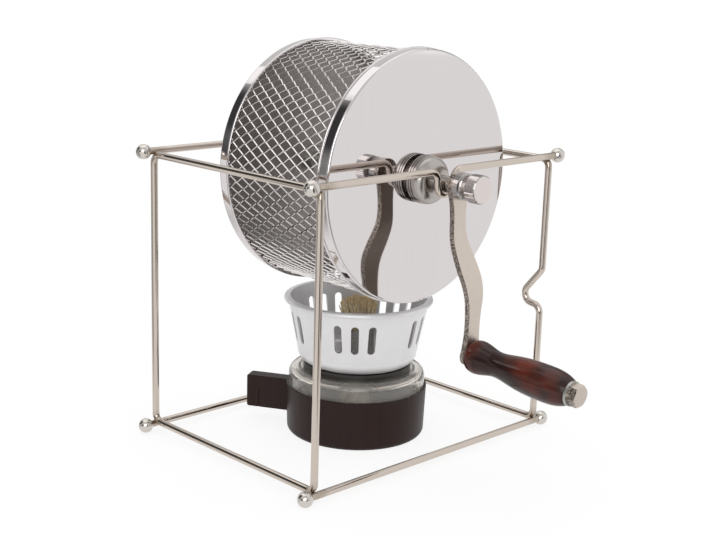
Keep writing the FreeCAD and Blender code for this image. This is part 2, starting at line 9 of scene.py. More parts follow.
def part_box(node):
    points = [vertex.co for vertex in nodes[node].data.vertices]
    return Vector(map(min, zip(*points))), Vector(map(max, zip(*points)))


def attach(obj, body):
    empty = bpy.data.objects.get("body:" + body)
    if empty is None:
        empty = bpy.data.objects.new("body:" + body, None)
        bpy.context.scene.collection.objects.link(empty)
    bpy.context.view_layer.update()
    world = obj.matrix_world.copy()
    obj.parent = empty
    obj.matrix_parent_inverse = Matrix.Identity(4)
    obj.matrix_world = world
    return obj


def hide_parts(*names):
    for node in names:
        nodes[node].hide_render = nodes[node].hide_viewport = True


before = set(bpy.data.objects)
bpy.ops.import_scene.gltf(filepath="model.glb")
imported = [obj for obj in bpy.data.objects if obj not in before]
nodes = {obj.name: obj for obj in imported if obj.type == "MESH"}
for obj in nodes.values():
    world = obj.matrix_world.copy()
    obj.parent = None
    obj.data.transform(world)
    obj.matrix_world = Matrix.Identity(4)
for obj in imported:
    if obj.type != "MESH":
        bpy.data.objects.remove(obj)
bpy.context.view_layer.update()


# Wire stand: two closed side loops and four cross bars of 4 mm steel wire. The bars are
# resistance welded across the loops' corners and everything is bright nickel plated after.

MM = 0.001
# the two colour inputs of a Mix node and its colour output
MIX_A, MIX_B, MIX_RESULT = 6, 7, 2
# millimetres from the stand's middle to its welds, and the height of that middle
WIRE_WELD = (88.6, 68.8, 80.0)
WIRE_MID_HEIGHT = 84.25
# millimetres from a weld's middle to where its stain starts, and to where it is full
WELD_STAIN_REACH = 9.5
WELD_STAIN_FULL = 3.5


def linear(code):
    """sRGB hex, such as "#C8C0B4", to the linear colour that a socket takes."""
    channels = [int(code[k:k + 2], 16) / 255 for k in (1, 3, 5)]
    return [c / 12.92 if c <= 0.04045 else ((c + 0.055) / 1.055) ** 2.4 for c in channels] + [1.0]


def per_mm(size):
    """Texture scale at which one feature is this many millimetres across."""
    return 1000.0 / size


def add(tree, kind, sockets=None, **settings):
    """Adds a node. Sockets maps an input's name or number to a value or another node's output."""
    node = tree.nodes.new(kind)
    for key, value in settings.items():
        setattr(node, key, value)
    for key, value in (sockets or {}).items():
        if isinstance(value, bpy.types.NodeSocket):
            tree.links.new(value, node.inputs[key])
        else:
            node.inputs[key].default_value = value
    return node


def new_finish(name):
    """An empty material and its node tree."""
    made = bpy.data.materials.new(name)
    made.use_nodes = True
    made.node_tree.nodes.clear()
    return made, made.node_tree


def dress(material, *names):
    """Gives CAD nodes their finish."""
    for name in names:
        for slot in nodes[name].material_slots:
            slot.material = material


# Nickel plated wire: a warm silver, drawn smooth so it mirrors softly, a little brown beside
# each weld where the heat went through the plate.
nickel_wire, tree = new_finish("nickel_plated_wire")
place = add(tree, "ShaderNodeTexCoord").outputs["Object"]
lifted = add(tree, "ShaderNodeVectorMath", {0: place, 1: (0, 0, WIRE_MID_HEIGHT * MM)},
             operation="SUBTRACT")
folded = add(tree, "ShaderNodeVectorMath", {0: lifted.outputs[0]}, operation="ABSOLUTE")
weld_at = [c * MM for c in WIRE_WELD]
from_weld = add(tree, "ShaderNodeVectorMath", {0: folded.outputs[0], 1: weld_at}, operation="DISTANCE")
heat = add(tree, "ShaderNodeMapRange", {
    "Value": from_weld.outputs["Value"],
    "From Min": WELD_STAIN_REACH * MM, "From Max": WELD_STAIN_FULL * MM, "To Min": 0.0, "To Max": 0.75,
})
smudge = add(tree, "ShaderNodeTexNoise", {"Vector": place, "Scale": per_mm(7.0), "Detail": 3.0})
stain = add(tree, "ShaderNodeMath", {0: heat.outputs[0], 1: smudge.outputs[0]}, operation="MULTIPLY")
colour = add(tree, "ShaderNodeMix", {
    0: stain.outputs[0], MIX_A: linear("#C9BEB4"), MIX_B: linear("#6E5C3E"),
}, data_type="RGBA")
gloss = add(tree, "ShaderNodeMapRange", {"Value": smudge.outputs[0], "To Min": 0.06, "To Max": 0.16})
drawn = add(tree, "ShaderNodeTexNoise", {"Vector": place, "Scale": per_mm(1.2), "Detail": 2.0})
bump = add(tree, "ShaderNodeBump", {"Height": drawn.outputs[0], "Strength": 0.08, "Distance": 0.05 * MM})
shader = add(tree, "ShaderNodeBsdfPrincipled", {
    "Base Color": colour.outputs[MIX_RESULT], "Metallic": 1.0,
    "Roughness": gloss.outputs[0], "Normal": bump.outputs[0],
})
add(tree, "ShaderNodeOutputMaterial", {"Surface": shader.outputs[0]})
dress(nickel_wire, "left_side_loop", "right_side_loop", "front_top_bar", "rear_top_bar",
      "front_bottom_bar", "rear_bottom_bar")


# Eight 8.5 mm balls, drilled and pressed over the bar ends: caps above, feet below. Turned
# steel with the same nickel plate, polished brighter than the wire.

nickel_ball, tree = new_finish("polished_nickel_ball")
place = add(tree, "ShaderNodeTexCoord").outputs["Object"]
smudge = add(tree, "ShaderNodeTexNoise", {"Vector": place, "Scale": per_mm(3.0), "Detail": 2.0})
gloss = add(tree, "ShaderNodeMapRange", {"Value": smudge.outputs[0], "To Min": 0.05, "To Max": 0.16})
shader = add(tree, "ShaderNodeBsdfPrincipled", {
    "Base Color": linear("#CFC9C3"), "Metallic": 1.0, "Roughness": gloss.outputs[0],
})
add(tree, "ShaderNodeOutputMaterial", {"Surface": shader.outputs[0]})
dress(nickel_ball, "top_balls", "foot_balls")


# Drum wall: raised expanded stainless mesh, slit and stretched into diamonds 10.7 mm long and
# 6.2 mm high, then rolled into a tube whose ends sit under the skirts of the two caps.

MESH_ROWS = 138
MESH_LONG_WAY = 10.65
MESH_RADIUS = 67.55
MESH_ROW_PITCH = 2 * math.pi * MESH_RADIUS / MESH_ROWS
MESH_STRAND_WIDTH = 0.64
MESH_STRAND_THICK = 0.42
MESH_STRAND_TILT = math.radians(48)
MESH_STEPS_PER_DIAMOND = 8
# half a step, as a share of a diamond's length
MESH_HALF_STEP = 0.5 / MESH_STEPS_PER_DIAMOND
MESH_STEPS_CUT_BACK = 3

# Bright stainless strands, softly clouded by the stretching.
mesh_steel, tree = new_finish("expanded_stainless_mesh")
place = add(tree, "ShaderNodeTexCoord").outputs["Object"]
cloud = add(tree, "ShaderNodeTexNoise", {"Vector": place, "Scale": per_mm(4.0), "Detail": 3.0})
colour = add(tree, "ShaderNodeMix", {
    0: cloud.outputs[0], MIX_A: linear("#F0EDEC"), MIX_B: linear("#DAD5D3"),
}, data_type="RGBA")
gloss = add(tree, "ShaderNodeMapRange", {"Value": cloud.outputs[0], "To Min": 0.12, "To Max": 0.26})
shader = add(tree, "ShaderNodeBsdfPrincipled", {
    "Base Color": colour.outputs[MIX_RESULT], "Metallic": 1.0, "Roughness": gloss.outputs[0],
})
add(tree, "ShaderNodeOutputMaterial", {"Surface": shader.outputs[0]})


def named_inputs(tree, sizes):
    """Adds the tree's output and one named number for each size; returns the group input node."""
    tree.interface.new_socket("Geometry", in_out="OUTPUT", socket_type="NodeSocketGeometry")
    for name, value in sizes.items():
        kind = "NodeSocketInt" if isinstance(value, int) else "NodeSocketFloat"
        tree.interface.new_socket(name, in_out="INPUT", socket_type=kind)
    return add(tree, "NodeGroupInput")


def grown(name, tree, sizes):
    """Runs a geometry tree with these sizes and returns the result as a plain mesh object."""
    holder = bpy.data.objects.new(name, bpy.data.meshes.new(name + "_seed"))
    bpy.context.scene.collection.objects.link(holder)
    modifier = holder.modifiers.new(name, "NODES")
    modifier.node_group = tree
    for item in tree.interface.items_tree:
        if item.item_type == "SOCKET" and item.in_out == "INPUT":
            modifier[item.identifier] = sizes[item.name]
    graph = bpy.context.evaluated_depsgraph_get()
    mesh = bpy.data.meshes.new_from_object(holder.evaluated_get(graph), depsgraph=graph)
    holder.modifiers.clear()
    holder.data = mesh
    return holder


mesh_low, mesh_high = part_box("drum_mesh")
drum_height = (mesh_low.z + mesh_high.z) / 2
mesh_steps = round((mesh_high.y - mesh_low.y) / MM / MESH_LONG_WAY * MESH_STEPS_PER_DIAMOND)
mesh_sizes = {
    "Rows": MESH_ROWS,
    "Points": mesh_steps - MESH_STEPS_CUT_BACK,
    "Long Way": MESH_LONG_WAY * MM,
    "Radius": MESH_RADIUS * MM,
    "Row Swing": (MESH_ROW_PITCH - MESH_STRAND_WIDTH * math.cos(MESH_STRAND_TILT)) / 2 * MM,
    "Level Swing": MESH_STRAND_WIDTH / 2 * math.sin(MESH_STRAND_TILT) * MM,
    "Strand Width": MESH_STRAND_WIDTH * MM,
    "Strand Thickness": MESH_STRAND_THICK * MM,
    "Strand Tilt": MESH_STRAND_TILT,
}
weave = bpy.data.node_groups.new("expanded_mesh", "GeometryNodeTree")
size = named_inputs(weave, mesh_sizes).outputs
step = add(weave, "ShaderNodeMath", {0: size["Long Way"], 1: float(MESH_STEPS_PER_DIAMOND)},
           operation="DIVIDE")
length = add(weave, "ShaderNodeMath", {0: step.outputs[0], 1: size["Points"]}, operation="MULTIPLY")
half = add(weave, "ShaderNodeMath", {0: length.outputs[0], 1: 0.5}, operation="MULTIPLY")
start = add(weave, "ShaderNodeMath", {0: half.outputs[0], 1: -1.0}, operation="MULTIPLY")
near = add(weave, "ShaderNodeCombineXYZ", {"Y": start.outputs[0], "Z": size["Radius"]})
far = add(weave, "ShaderNodeCombineXYZ", {"Y": half.outputs[0], "Z": size["Radius"]})
line = add(weave, "GeometryNodeCurvePrimitiveLine", {"Start": near.outputs[0], "End": far.outputs[0]})
count = add(weave, "ShaderNodeMath", {0: size["Points"], 1: 1.0})
strand = add(weave, "GeometryNodeResampleCurve", {"Curve": line.outputs[0], "Count": count.outputs[0]})
# one strand zigzags from bond to bond: a triangle wave along the drum, cut flat at each bond
point = add(weave, "GeometryNodeInputIndex").outputs[0]
phase = add(weave, "ShaderNodeMath", {0: point, 1: 1.0 / MESH_STEPS_PER_DIAMOND}, operation="MULTIPLY")
late = add(weave, "ShaderNodeMath", {0: phase.outputs[0], 1: MESH_HALF_STEP})
wave = add(weave, "ShaderNodeMath", {0: late.outputs[0], 1: 0.5}, operation="PINGPONG")
swing = add(weave, "ShaderNodeMapRange", {
    "Value": wave.outputs[0], "From Min": MESH_HALF_STEP, "From Max": 0.5 - MESH_HALF_STEP,
    "To Min": -1.0, "To Max": 1.0,
})
aside = add(weave, "ShaderNodeMath", {0: swing.outputs[0], 1: size["Row Swing"]}, operation="MULTIPLY")
level = add(weave, "ShaderNodeMath", {0: swing.outputs[0], 1: size["Level Swing"]}, operation="MULTIPLY")
shift = add(weave, "ShaderNodeCombineXYZ", {"X": aside.outputs[0], "Z": level.outputs[0]})
bent = add(weave, "GeometryNodeSetPosition", {"Geometry": strand.outputs[0], "Offset": shift.outputs[0]})
upright = add(weave, "GeometryNodeSetCurveNormal", {"Curve": bent.outputs[0]}, mode="Z_UP")
tilted = add(weave, "GeometryNodeSetCurveTilt", {"Curve": upright.outputs[0], "Tilt": size["Strand Tilt"]})
ribbon = add(weave, "GeometryNodeCurvePrimitiveQuadrilateral",
             {"Width": size["Strand Width"], "Height": size["Strand Thickness"]})
solid = add(weave, "GeometryNodeCurveToMesh",
            {"Curve": tilted.outputs[0], "Profile Curve": ribbon.outputs[0], "Fill Caps": True})
flat = add(weave, "GeometryNodeSetShadeSmooth", {"Geometry": solid.outputs[0], "Shade Smooth": False})
# every second strand starts half a diamond later, so that neighbours meet at the bonds
row = add(weave, "GeometryNodeInputIndex").outputs[0]
odd = add(weave, "ShaderNodeMath", {0: row, 1: 2.0}, operation="MODULO")
half_way = add(weave, "ShaderNodeMath", {0: size["Long Way"], 1: 0.5}, operation="MULTIPLY")
slide = add(weave, "ShaderNodeMath", {0: odd.outputs[0], 1: half_way.outputs[0]}, operation="MULTIPLY")
seat = add(weave, "ShaderNodeCombineXYZ", {"Y": slide.outputs[0]})
rows = add(weave, "GeometryNodePoints", {"Count": size["Rows"], "Position": seat.outputs[0]})
share = add(weave, "ShaderNodeMath", {0: row, 1: size["Rows"]}, operation="DIVIDE")
turn = add(weave, "ShaderNodeMath", {0: share.outputs[0], 1: 2 * math.pi}, operation="MULTIPLY")
facing = add(weave, "ShaderNodeCombineXYZ", {"Y": turn.outputs[0]})
around = add(weave, "GeometryNodeInstanceOnPoints",
             {"Points": rows.outputs[0], "Instance": flat.outputs[0], "Rotation": facing.outputs[0]})
real = add(weave, "GeometryNodeRealizeInstances", {"Geometry": around.outputs[0]})
dressed = add(weave, "GeometryNodeSetMaterial", {"Geometry": real.outputs[0], "Material": mesh_steel})
add(weave, "NodeGroupOutput", {"Geometry": dressed.outputs[0]})
expanded_mesh = grown("expanded_mesh", weave, mesh_sizes)
mesh_middle = (mesh_low.y + mesh_high.y) / 2 - MESH_LONG_WAY / 4 * MM
expanded_mesh.data.transform(Matrix.Translation((0, mesh_middle, drum_height)))
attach(expanded_mesh, "drum")
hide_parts("drum_mesh")


# Drum end caps: pressed stainless lids, polished to a near mirror outside with faint upright
# polishing lines. Inside they are left dull and painted a darker brown grey as the shade within the drum.

CAP_SHEET = 0.7
CAP_INNER_RADIUS = 68.2

cap_steel, tree = new_finish("polished_stainless_sheet")
place = add(tree, "ShaderNodeTexCoord").outputs["Object"]
hung = add(tree, "ShaderNodeVectorMath", {0: place, 1: (0, 0, drum_height)}, operation="SUBTRACT")
axes = add(tree, "ShaderNodeSeparateXYZ", {0: hung.outputs[0]})
flat_out = add(tree, "ShaderNodeCombineXYZ", {"X": axes.outputs["X"], "Z": axes.outputs["Z"]})
radius = add(tree, "ShaderNodeVectorMath", {0: flat_out.outputs[0]}, operation="LENGTH")
cap_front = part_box("front_end_cap")[0].y
cap_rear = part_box("rear_end_cap")[1].y
cap_inner_face = (cap_rear - cap_front) / 2 - CAP_SHEET / 2 * MM
from_middle = add(tree, "ShaderNodeMath", {0: axes.outputs["Y"], 1: (cap_front + cap_rear) / 2},
                  operation="SUBTRACT")
deep = add(tree, "ShaderNodeMath", {0: from_middle.outputs[0]}, operation="ABSOLUTE")
behind = add(tree, "ShaderNodeMath", {0: deep.outputs[0], 1: cap_inner_face}, operation="LESS_THAN")
within = add(tree, "ShaderNodeMath", {0: radius.outputs["Value"], 1: CAP_INNER_RADIUS * MM},
             operation="LESS_THAN")
inside = add(tree, "ShaderNodeMath", {0: behind.outputs[0], 1: within.outputs[0]}, operation="MULTIPLY")
stretched = add(tree, "ShaderNodeMapping", {
    "Vector": place, "Scale": (per_mm(0.5), per_mm(0.5), per_mm(45.0)),
})
lines = add(tree, "ShaderNodeTexNoise", {"Vector": stretched.outputs[0], "Scale": 1.0, "Detail": 4.0})
cloud = add(tree, "ShaderNodeTexNoise", {"Vector": place, "Scale": per_mm(30.0), "Detail": 2.0})
# painted shade: the caps' inner faces get a darker brown grey for the shade inside the drum
inside_shade = add(tree, "ShaderNodeMix", {
    0: cloud.outputs[0], MIX_A: linear("#8E8785"), MIX_B: linear("#ABA5A2"),
}, data_type="RGBA")
outside = add(tree, "ShaderNodeMix", {
    0: lines.outputs[0], MIX_A: linear("#DAD5D5"), MIX_B: linear("#D4CFCF"),
}, data_type="RGBA")
colour = add(tree, "ShaderNodeMix", {
    0: inside.outputs[0], MIX_A: outside.outputs[MIX_RESULT], MIX_B: inside_shade.outputs[MIX_RESULT],
}, data_type="RGBA")
polish = add(tree, "ShaderNodeMapRange", {"Value": lines.outputs[0], "To Min": 0.025, "To Max": 0.055})
gloss = add(tree, "ShaderNodeMix", {0: inside.outputs[0], 2: polish.outputs[0], 3: 0.42}, data_type="FLOAT")
bump = add(tree, "ShaderNodeBump", {"Height": lines.outputs[0], "Strength": 0.01, "Distance": 0.02 * MM})
shader = add(tree, "ShaderNodeBsdfPrincipled", {
    "Base Color": colour.outputs[MIX_RESULT], "Metallic": 1.0,
    "Roughness": gloss.outputs[0], "Normal": bump.outputs[0],
})
add(tree, "ShaderNodeOutputMaterial", {"Surface": shader.outputs[0]})
dress(cap_steel, "front_end_cap", "rear_end_cap")


# Axle, hubs and what clamps them: a turned 8 mm shaft, two grooved hubs with a domed nose,
# their sunk set screws and the lock nuts inside. Bright turned steel with fine lathe marks.

turned_steel, tree = new_finish("turned_steel")
place = add(tree, "ShaderNodeTexCoord").outputs["Object"]
hung = add(tree, "ShaderNodeVectorMath", {0: place, 1: (0, 0, drum_height)}, operation="SUBTRACT")
axes = add(tree, "ShaderNodeSeparateXYZ", {0: hung.outputs[0]})
flat_out = add(tree, "ShaderNodeCombineXYZ", {"X": axes.outputs["X"], "Z": axes.outputs["Z"]})
radius = add(tree, "ShaderNodeVectorMath", {0: flat_out.outputs[0]}, operation="LENGTH")
lathe = add(tree, "ShaderNodeCombineXYZ", {"X": radius.outputs["Value"], "Y": axes.outputs["Y"]})
rings = add(tree, "ShaderNodeTexNoise", {"Vector": lathe.outputs[0], "Scale": per_mm(0.5), "Detail": 3.0})
colour = add(tree, "ShaderNodeMix", {
    0: rings.outputs[0], MIX_A: linear("#A29C98"), MIX_B: linear("#BEB9B5"),
}, data_type="RGBA")
gloss = add(tree, "ShaderNodeMapRange", {"Value": rings.outputs[0], "To Min": 0.18, "To Max": 0.3})
bump = add(tree, "ShaderNodeBump", {"Height": rings.outputs[0], "Strength": 0.06, "Distance": 0.05 * MM})
shader = add(tree, "ShaderNodeBsdfPrincipled", {
    "Base Color": colour.outputs[MIX_RESULT], "Metallic": 1.0,
    "Roughness": gloss.outputs[0], "Normal": bump.outputs[0],
})
add(tree, "ShaderNodeOutputMaterial", {"Surface": shader.outputs[0]})
dress(turned_steel, "drum_shaft", "front_hub", "rear_hub")

# Zinc plate over steel: a dull grey with a faint spangle.
zinc_plate, tree = new_finish("zinc_plated_steel")
place = add(tree, "ShaderNodeTexCoord").outputs["Object"]
spangle = add(tree, "ShaderNodeTexVoronoi", {"Vector": place, "Scale": per_mm(1.5)})
colour = add(tree, "ShaderNodeMix", {
    0: spangle.outputs["Distance"], MIX_A: linear("#C2C1BD"), MIX_B: linear("#A4A39E"),
}, data_type="RGBA")
gloss = add(tree, "ShaderNodeMapRange", {
    "Value": spangle.outputs["Distance"], "To Min": 0.3, "To Max": 0.45,
})
shader = add(tree, "ShaderNodeBsdfPrincipled", {
    "Base Color": colour.outputs[MIX_RESULT], "Metallic": 1.0, "Roughness": gloss.outputs[0],
})
add(tree, "ShaderNodeOutputMaterial", {"Surface": shader.outputs[0]})
dress(zinc_plate, "hub_set_screws", "inner_lock_nuts", "grip_washer", "wick_tube")


# Crank arm: a 3.2 mm steel strip blanked to shape, joggled in the press and satin nickel
# plated. The sheared edges stay rougher and darker than the face. The back, which faces the drum, is
# painted dark as shade.

arm_steel, tree = new_finish("satin_nickel_strip")
coordinates = add(tree, "ShaderNodeTexCoord")
place = coordinates.outputs["Object"]
facing = add(tree, "ShaderNodeSeparateXYZ", {0: coordinates.outputs["Normal"]})
sideways = add(tree, "ShaderNodeMath", {0: facing.outputs["X"]}, operation="ABSOLUTE")
edge = add(tree, "ShaderNodeMapRange", {"Value": sideways.outputs[0], "From Min": 0.45, "From Max": 0.6})
mottle = add(tree, "ShaderNodeTexNoise", {"Vector": place, "Scale": per_mm(2.2), "Detail": 4.0})
face = add(tree, "ShaderNodeMix", {
    0: mottle.outputs[0], MIX_A: linear("#C8BDB2"), MIX_B: linear("#D6CBC1"),
}, data_type="RGBA")
torn = add(tree, "ShaderNodeTexNoise", {"Vector": place, "Scale": per_mm(0.9), "Detail": 3.0})
rough_edge = add(tree, "ShaderNodeMapRange", {"Value": torn.outputs[0], "From Min": 0.38, "From Max": 0.62})
sheared = add(tree, "ShaderNodeMix", {
    0: rough_edge.outputs[0], MIX_A: linear("#544A44"), MIX_B: linear("#B9AFA6"),
}, data_type="RGBA")
# painted shade: the side that faces the drum gets a dark colour for the shade it lies in
shaded_back = add(tree, "ShaderNodeMapRange", {"Value": facing.outputs["Y"], "From Min": 0.3, "From Max": 0.5})
face_and_shaded_back = add(tree, "ShaderNodeMix", {
    0: shaded_back.outputs[0], MIX_A: face.outputs[MIX_RESULT], MIX_B: linear("#6E645C"),
}, data_type="RGBA")
colour = add(tree, "ShaderNodeMix", {
    0: edge.outputs[0], MIX_A: face_and_shaded_back.outputs[MIX_RESULT], MIX_B: sheared.outputs[MIX_RESULT],
}, data_type="RGBA")
gloss = add(tree, "ShaderNodeMapRange", {"Value": mottle.outputs[0], "To Min": 0.34, "To Max": 0.46})
bump = add(tree, "ShaderNodeBump", {"Height": mottle.outputs[0], "Strength": 0.2, "Distance": 0.08 * MM})
shader = add(tree, "ShaderNodeBsdfPrincipled", {
    "Base Color": colour.outputs[MIX_RESULT], "Metallic": 1.0,
    "Roughness": gloss.outputs[0], "Normal": bump.outputs[0],
})
add(tree, "ShaderNodeOutputMaterial", {"Surface": shader.outputs[0]})
dress(arm_steel, "crank_arm", "grip_bolt")


# Grooved collar and knurled thumb nut that hold the arm on the shaft's square: turned brass
# under chrome plate, a mirror on the sides and matt on the nut's faced end.

# a face whose normal points further forwards than this belongs to the nut's flat end
NUT_END_FACING = -0.9

chrome, tree = new_finish("chrome_plated_brass")
coordinates = add(tree, "ShaderNodeTexCoord")
place = coordinates.outputs["Object"]
facing = add(tree, "ShaderNodeSeparateXYZ", {0: coordinates.outputs["Normal"]})
faced = add(tree, "ShaderNodeMath", {0: facing.outputs["Y"], 1: NUT_END_FACING}, operation="LESS_THAN")
smudge = add(tree, "ShaderNodeTexNoise", {"Vector": place, "Scale": per_mm(2.0), "Detail": 3.0})
polish = add(tree, "ShaderNodeMapRange", {"Value": smudge.outputs[0], "To Min": 0.04, "To Max": 0.14})
gloss = add(tree, "ShaderNodeMix", {0: faced.outputs[0], 2: polish.outputs[0], 3: 0.38}, data_type="FLOAT")
colour = add(tree, "ShaderNodeMix", {
    0: faced.outputs[0], MIX_A: linear("#ACA8A6"), MIX_B: linear("#DCD3D0"),
}, data_type="RGBA")
shader = add(tree, "ShaderNodeBsdfPrincipled", {
    "Base Color": colour.outputs[MIX_RESULT], "Metallic": 1.0, "Roughness": gloss.outputs[0],
})
add(tree, "ShaderNodeOutputMaterial", {"Surface": shader.outputs[0]})
dress(chrome, "crank_collar", "thumb_nut")


# Grip: a turned hardwood handle, stained dark brown and dipped in gloss lacquer. It turns
# freely on its bolt. The grain runs along the grip and shows red brown where the stain is thin.

# degrees that the grip leans from the shaft's direction
GRIP_LEAN = 3.6

grip_wood, tree = new_finish("stained_lacquered_beech")
place = add(tree, "ShaderNodeTexCoord").outputs["Object"]
grain_way = add(tree, "ShaderNodeMapping", {
    "Vector": place, "Scale": (per_mm(1.6), per_mm(26.0), per_mm(1.6)),
    "Rotation": (math.radians(-GRIP_LEAN), 0, 0),
})
grain = add(tree, "ShaderNodeTexNoise", {
    "Vector": grain_way.outputs[0], "Scale": 1.0, "Detail": 4.0, "Roughness": 0.5, "Distortion": 0.3,
})
patch = add(tree, "ShaderNodeTexNoise", {"Vector": place, "Scale": per_mm(24.0), "Detail": 2.0})
thin = add(tree, "ShaderNodeMapRange", {"Value": patch.outputs[0], "From Min": 0.42, "From Max": 0.68})
stained = add(tree, "ShaderNodeMix", {
    0: grain.outputs[0], MIX_A: linear("#1C0B08"), MIX_B: linear("#2A110C"),
}, data_type="RGBA")
worn = add(tree, "ShaderNodeMix", {
    0: grain.outputs[0], MIX_A: linear("#481A10"), MIX_B: linear("#6E2C1B"),
}, data_type="RGBA")
colour = add(tree, "ShaderNodeMix", {
    0: thin.outputs[0], MIX_A: stained.outputs[MIX_RESULT], MIX_B: worn.outputs[MIX_RESULT],
}, data_type="RGBA")
bump = add(tree, "ShaderNodeBump", {"Height": grain.outputs[0], "Strength": 0.08, "Distance": 0.1 * MM})
shader = add(tree, "ShaderNodeBsdfPrincipled", {
    "Base Color": colour.outputs[MIX_RESULT], "Roughness": 0.5, "Specular IOR Level": 0.08,
    "Normal": bump.outputs[0], "Coat Weight": 0.55, "Coat Roughness": 0.14,
})
add(tree, "ShaderNodeOutputMaterial", {"Surface": shader.outputs[0]})
dress(grip_wood, "wood_grip")


# Burner base: a deep cup with a flat tab to push it by, moulded in dark brown phenolic
# plastic. Satin, with faint flow streaks up the wall.

base_plastic, tree = new_finish("brown_phenolic_plastic")
place = add(tree, "ShaderNodeTexCoord").outputs["Object"]
flow_way = add(tree, "ShaderNodeMapping", {
    "Vector": place, "Scale": (per_mm(5.0), per_mm(5.0), per_mm(35.0)),
})
flow = add(tree, "ShaderNodeTexNoise", {"Vector": flow_way.outputs[0], "Scale": 1.0, "Detail": 4.0})
colour = add(tree, "ShaderNodeMix", {
    0: flow.outputs[0], MIX_A: linear("#1E0F0C"), MIX_B: linear("#2B1A17"),
}, data_type="RGBA")
skin = add(tree, "ShaderNodeTexNoise", {"Vector": place, "Scale": per_mm(0.8), "Detail": 2.0})
gloss = add(tree, "ShaderNodeMapRange", {"Value": flow.outputs[0], "To Min": 0.34, "To Max": 0.5})
bump = add(tree, "ShaderNodeBump", {"Height": skin.outputs[0], "Strength": 0.15, "Distance": 0.08 * MM})
shader = add(tree, "ShaderNodeBsdfPrincipled", {
    "Base Color": colour.outputs[MIX_RESULT], "Roughness": gloss.outputs[0],
    "Specular IOR Level": 0.2, "Normal": bump.outputs[0],
})
add(tree, "ShaderNodeOutputMaterial", {"Surface": shader.outputs[0]})
dress(base_plastic, "burner_base")


# Fuel jar: clear pressed glass that drops into the base, with a thick shoulder and a short
# neck. It has a faint warm grey tint and is gently wavy from the mould.

jar_glass, tree = new_finish("pressed_soda_glass")
place = add(tree, "ShaderNodeTexCoord").outputs["Object"]
wavy = add(tree, "ShaderNodeTexNoise", {"Vector": place, "Scale": per_mm(7.0), "Detail": 2.0})
bump = add(tree, "ShaderNodeBump", {"Height": wavy.outputs[0], "Strength": 0.4, "Distance": 0.4 * MM})
shader = add(tree, "ShaderNodeBsdfPrincipled", {
    "Base Color": linear("#E4DFD8"), "Roughness": 0.03, "IOR": 1.5,
    "Transmission Weight": 0.9, "Normal": bump.outputs[0],
})
add(tree, "ShaderNodeOutputMaterial", {"Surface": shader.outputs[0]})
dress(jar_glass, "fuel_jar")


# Seal and cap on the jar's neck: a thin black rubber washer under a pressed steel plate that
# is stoved semi gloss black. The plate carries the wick tube and the wind cup.

# Rubber: matt black under a little grey dust.
seal_rubber, tree = new_finish("black_rubber")
place = add(tree, "ShaderNodeTexCoord").outputs["Object"]
dust = add(tree, "ShaderNodeTexNoise", {"Vector": place, "Scale": per_mm(1.0), "Detail": 3.0})
colour = add(tree, "ShaderNodeMix", {
    0: dust.outputs[0], MIX_A: linear("#141414"), MIX_B: linear("#262524"),
}, data_type="RGBA")
shader = add(tree, "ShaderNodeBsdfPrincipled", {
    "Base Color": colour.outputs[MIX_RESULT], "Roughness": 0.8,
})
add(tree, "ShaderNodeOutputMaterial", {"Surface": shader.outputs[0]})
dress(seal_rubber, "jar_seal")

# Stoved enamel: a brownish black with a fine orange peel in its gloss.
black_enamel, tree = new_finish("stoved_black_enamel")
place = add(tree, "ShaderNodeTexCoord").outputs["Object"]
peel = add(tree, "ShaderNodeTexNoise", {"Vector": place, "Scale": per_mm(1.2), "Detail": 2.0})
gloss = add(tree, "ShaderNodeMapRange", {"Value": peel.outputs[0], "To Min": 0.22, "To Max": 0.4})
colour = add(tree, "ShaderNodeMix", {
    0: peel.outputs[0], MIX_A: linear("#17140F"), MIX_B: linear("#2B2723"),
}, data_type="RGBA")
bump = add(tree, "ShaderNodeBump", {"Height": peel.outputs[0], "Strength": 0.2, "Distance": 0.05 * MM})
shader = add(tree, "ShaderNodeBsdfPrincipled", {
    "Base Color": colour.outputs[MIX_RESULT], "Roughness": gloss.outputs[0], "Normal": bump.outputs[0],
})
add(tree, "ShaderNodeOutputMaterial", {"Surface": shader.outputs[0]})
dress(black_enamel, "burner_cap")


# Wick: a bundle of unbleached cotton yarns, twisted where it stands in the jar and tube, and
# cut and frayed into a tuft above the tube.

WICK_RADIUS = 8.4
WICK_YARNS = 14
WICK_SIDES_PER_YARN = 6
WICK_TWIST_PER_MM = 0.045
WICK_LOBE = 0.7
WICK_RING_STEP = 1.5
WICK_FIBRES = 380
WICK_FIBRE_RADIUS = 0.3
WICK_FIBRE_SIDES = 5
WICK_FIBRE_POINTS = 8
WICK_TUFT_ROOT = 58.0
WICK_TUFT_SPREAD = 1.12
WICK_TUFT_CURL = 1.6
WICK_TUFT_CURL_SIZE = 4.0
# shares of the tuft's height that the shortest fibres and those round its edge reach
WICK_SHORTEST_FIBRE = 0.8
WICK_TUFT_EDGE_HEIGHT = 0.8

# Cotton: matt cream yarn, browner in some fibres, that lets some of the light through.
cotton, tree = new_finish("unbleached_cotton_yarn")
place = add(tree, "ShaderNodeTexCoord").outputs["Object"]
fibre = add(tree, "ShaderNodeAttribute", attribute_name="fibre")
fluff = add(tree, "ShaderNodeTexNoise", {"Vector": place, "Scale": per_mm(0.7), "Detail": 3.0})
pale = add(tree, "ShaderNodeMix", {
    0: fluff.outputs[0], MIX_A: linear("#F6EFD8"), MIX_B: linear("#FDF9EC"),
}, data_type="RGBA")
brown = add(tree, "ShaderNodeMix", {
    0: fluff.outputs[0], MIX_A: linear("#E0CBA0"), MIX_B: linear("#F2E4C4"),
}, data_type="RGBA")
colour = add(tree, "ShaderNodeMix", {
    0: fibre.outputs["Fac"], MIX_A: pale.outputs[MIX_RESULT], MIX_B: brown.outputs[MIX_RESULT],
}, data_type="RGBA")
bump = add(tree, "ShaderNodeBump", {"Height": fluff.outputs[0], "Strength": 0.5, "Distance": 0.2 * MM})
